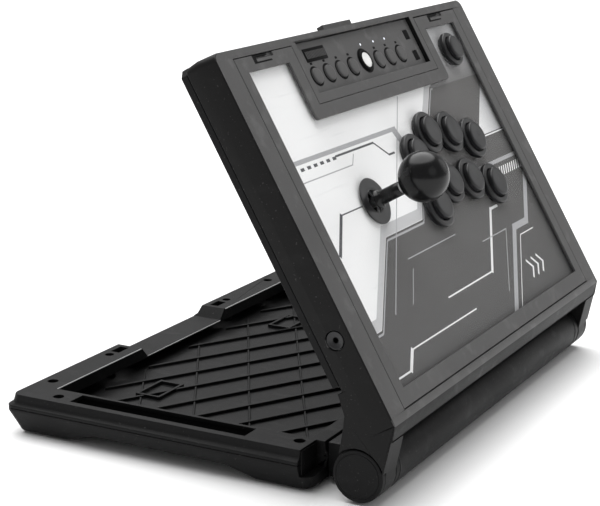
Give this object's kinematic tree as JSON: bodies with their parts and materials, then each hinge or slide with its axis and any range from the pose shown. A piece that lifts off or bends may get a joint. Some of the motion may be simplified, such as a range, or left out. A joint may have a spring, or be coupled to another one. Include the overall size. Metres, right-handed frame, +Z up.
{
  "type": "arcade joystick panel",
  "caption": "Clamshell arcade joystick panel: ribbed tray base, hinged lid with ball-top lever, large push buttons, control strip and artwork under a clear cover.",
  "frame": {"origin": "on the table, under the middle of the whole object's bounding box with the lid standing open as stored", "axes": "+X to the player's right along the hinge, +Y away from the player towards the tray's rear, +Z up"},
  "size_m": [0.416, 0.3198, 0.296],
  "materials": {
    "base_black": "fine textured black moulding",
    "lid_black": "fine textured black moulding",
    "satin_button": "satin black",
    "gloss_black": "polished black",
    "rubber_foot": "matt rubber",
    "zinc_steel": "zinc-plated sheet",
    "circuit_board": "solder mask",
    "clear_acrylic": "clear polished sheet",
    "printed_sheet": "printed sheet",
    "white_plastic": "white moulding"
  },
  "bodies": {
    "base": {"base_pan": "base_black", "base_rim_frame": "base_black", "hinge_barrel": "base_black", "hinge_pin_left": "zinc_steel", "hinge_pin_right": "zinc_steel", "foot_front_left": "rubber_foot", "foot_rear_left": "rubber_foot", "foot_front_right": "rubber_foot", "foot_rear_right": "rubber_foot"},
    "lid": {"lid_housing": "lid_black", "lid_lower_frame": "base_black", "top_bezel": "lid_black", "clear_cover": "clear_acrylic", "artwork_sheet": "printed_sheet", "steel_panel": "zinc_steel", "control_strip": "lid_black", "hinge_cap_left": "base_black", "hinge_cap_right": "base_black", "lever_bracket": "zinc_steel", "lever_body": "gloss_black", "lever_switch_board": "circuit_board", "lever_gate": "white_plastic", "dust_washer": "satin_button", "button_rim_upper_1": "satin_button", "button_rim_upper_2": "satin_button", "button_rim_upper_3": "satin_button", "button_rim_upper_4": "satin_button", "button_rim_lower_1": "satin_button", "button_rim_lower_2": "satin_button", "button_rim_lower_3": "satin_button", "button_rim_lower_4": "satin_button", "button_rim_corner": "satin_button", "control_board": "circuit_board", "main_board": "circuit_board", "headset_jack": "satin_button", "usb_inlet": "zinc_steel"},
    "lever_gimbal": {"lever_pivot_ring": "white_plastic"},
    "lever": {"lever_shaft": "gloss_black", "ball_top": "gloss_black"},
    "push_upper_1": {"button_plunger_upper_1": "satin_button"},
    "push_upper_2": {"button_plunger_upper_2": "satin_button"},
    "push_upper_3": {"button_plunger_upper_3": "satin_button"},
    "push_upper_4": {"button_plunger_upper_4": "satin_button"},
    "push_lower_1": {"button_plunger_lower_1": "satin_button"},
    "push_lower_2": {"button_plunger_lower_2": "satin_button"},
    "push_lower_3": {"button_plunger_lower_3": "satin_button"},
    "push_lower_4": {"button_plunger_lower_4": "satin_button"},
    "push_corner": {"button_plunger_corner": "satin_button"},
    "strip_button_1_body": {"strip_button_1": "lid_black"},
    "strip_button_2_body": {"strip_button_2": "lid_black"},
    "strip_button_3_body": {"strip_button_3": "lid_black"},
    "strip_button_4_body": {"strip_button_4": "lid_black"},
    "strip_button_5_body": {"strip_button_5": "lid_black"},
    "strip_button_6_body": {"strip_button_6": "lid_black"},
    "strip_button_7_body": {"strip_button_7": "lid_black"},
    "home_button_body": {"home_button": "white_plastic"},
    "lock_key_body": {"lock_key": "satin_button"},
    "audio_key_body": {"audio_key": "satin_button"},
    "latch": {"latch_bar": "satin_button"}
  },
  "joints": [
    {"name": "lid_hinge", "type": "hinge", "parent": "base", "child": "lid", "pos_m": [0, -0.1331, 0.0205], "axis": [1, 0, 0], "range_deg": [-60, 0]},
    {"name": "lever_tilt_side", "type": "hinge", "parent": "lid", "child": "lever_gimbal", "pos_m": [-0.0894, -0.07228, 0.17245], "axis": [0, 0.5, 0.866], "range_deg": [-8.5, 8.5], "stiffness_Nm_per_rad": 0.6},
    {"name": "lever_tilt_depth", "type": "hinge", "parent": "lever_gimbal", "child": "lever", "pos_m": [-0.0894, -0.07228, 0.17245], "axis": [1, 0, 0], "range_deg": [-8.5, 8.5], "stiffness_Nm_per_rad": 0.6},
    {"name": "press_upper_1", "type": "slide", "parent": "lid", "child": "push_upper_1", "axis": [0, 0.866, -0.5], "range_m": [0, 0.003], "stiffness_N_per_m": 250, "springref_m": -0.0015},
    {"name": "press_upper_2", "type": "slide", "parent": "lid", "child": "push_upper_2", "axis": [0, 0.866, -0.5], "range_m": [0, 0.003], "stiffness_N_per_m": 250, "springref_m": -0.0015},
    {"name": "press_upper_3", "type": "slide", "parent": "lid", "child": "push_upper_3", "axis": [0, 0.866, -0.5], "range_m": [0, 0.003], "stiffness_N_per_m": 250, "springref_m": -0.0015},
    {"name": "press_upper_4", "type": "slide", "parent": "lid", "child": "push_upper_4", "axis": [0, 0.866, -0.5], "range_m": [0, 0.003], "stiffness_N_per_m": 250, "springref_m": -0.0015},
    {"name": "press_lower_1", "type": "slide", "parent": "lid", "child": "push_lower_1", "axis": [0, 0.866, -0.5], "range_m": [0, 0.003], "stiffness_N_per_m": 250, "springref_m": -0.0015},
    {"name": "press_lower_2", "type": "slide", "parent": "lid", "child": "push_lower_2", "axis": [0, 0.866, -0.5], "range_m": [0, 0.003], "stiffness_N_per_m": 250, "springref_m": -0.0015},
    {"name": "press_lower_3", "type": "slide", "parent": "lid", "child": "push_lower_3", "axis": [0, 0.866, -0.5], "range_m": [0, 0.003], "stiffness_N_per_m": 250, "springref_m": -0.0015},
    {"name": "press_lower_4", "type": "slide", "parent": "lid", "child": "push_lower_4", "axis": [0, 0.866, -0.5], "range_m": [0, 0.003], "stiffness_N_per_m": 250, "springref_m": -0.0015},
    {"name": "press_corner", "type": "slide", "parent": "lid", "child": "push_corner", "axis": [0, 0.866, -0.5], "range_m": [0, 0.003], "stiffness_N_per_m": 250, "springref_m": -0.0015},
    {"name": "press_strip_button_1", "type": "slide", "parent": "lid", "child": "strip_button_1_body", "axis": [0, 0.866, -0.5], "range_m": [0, 0.0012], "stiffness_N_per_m": 300, "springref_m": -0.0006},
    {"name": "press_strip_button_2", "type": "slide", "parent": "lid", "child": "strip_button_2_body", "axis": [0, 0.866, -0.5], "range_m": [0, 0.0012], "stiffness_N_per_m": 300, "springref_m": -0.0006},
    {"name": "press_strip_button_3", "type": "slide", "parent": "lid", "child": "strip_button_3_body", "axis": [0, 0.866, -0.5], "range_m": [0, 0.0012], "stiffness_N_per_m": 300, "springref_m": -0.0006},
    {"name": "press_strip_button_4", "type": "slide", "parent": "lid", "child": "strip_button_4_body", "axis": [0, 0.866, -0.5], "range_m": [0, 0.0012], "stiffness_N_per_m": 300, "springref_m": -0.0006},
    {"name": "press_strip_button_5", "type": "slide", "parent": "lid", "child": "strip_button_5_body", "axis": [0, 0.866, -0.5], "range_m": [0, 0.0012], "stiffness_N_per_m": 300, "springref_m": -0.0006},
    {"name": "press_strip_button_6", "type": "slide", "parent": "lid", "child": "strip_button_6_body", "axis": [0, 0.866, -0.5], "range_m": [0, 0.0012], "stiffness_N_per_m": 300, "springref_m": -0.0006},
    {"name": "press_strip_button_7", "type": "slide", "parent": "lid", "child": "strip_button_7_body", "axis": [0, 0.866, -0.5], "range_m": [0, 0.0012], "stiffness_N_per_m": 300, "springref_m": -0.0006},
    {"name": "press_home_button", "type": "slide", "parent": "lid", "child": "home_button_body", "axis": [0, 0.866, -0.5], "range_m": [0, 0.0012], "stiffness_N_per_m": 300, "springref_m": -0.0006},
    {"name": "press_lock_key", "type": "slide", "parent": "lid", "child": "lock_key_body", "axis": [0, 0.866, -0.5], "range_m": [0, 0.0008], "stiffness_N_per_m": 300, "springref_m": -0.0004},
    {"name": "press_audio_key", "type": "slide", "parent": "lid", "child": "audio_key_body", "axis": [0, 0.866, -0.5], "range_m": [0, 0.0008], "stiffness_N_per_m": 300, "springref_m": -0.0004},
    {"name": "latch_slide", "type": "slide", "parent": "lid", "child": "latch", "axis": [0, -0.5, -0.866], "range_m": [0, 0.0025], "stiffness_N_per_m": 400, "springref_m": -0.002}
  ]
}
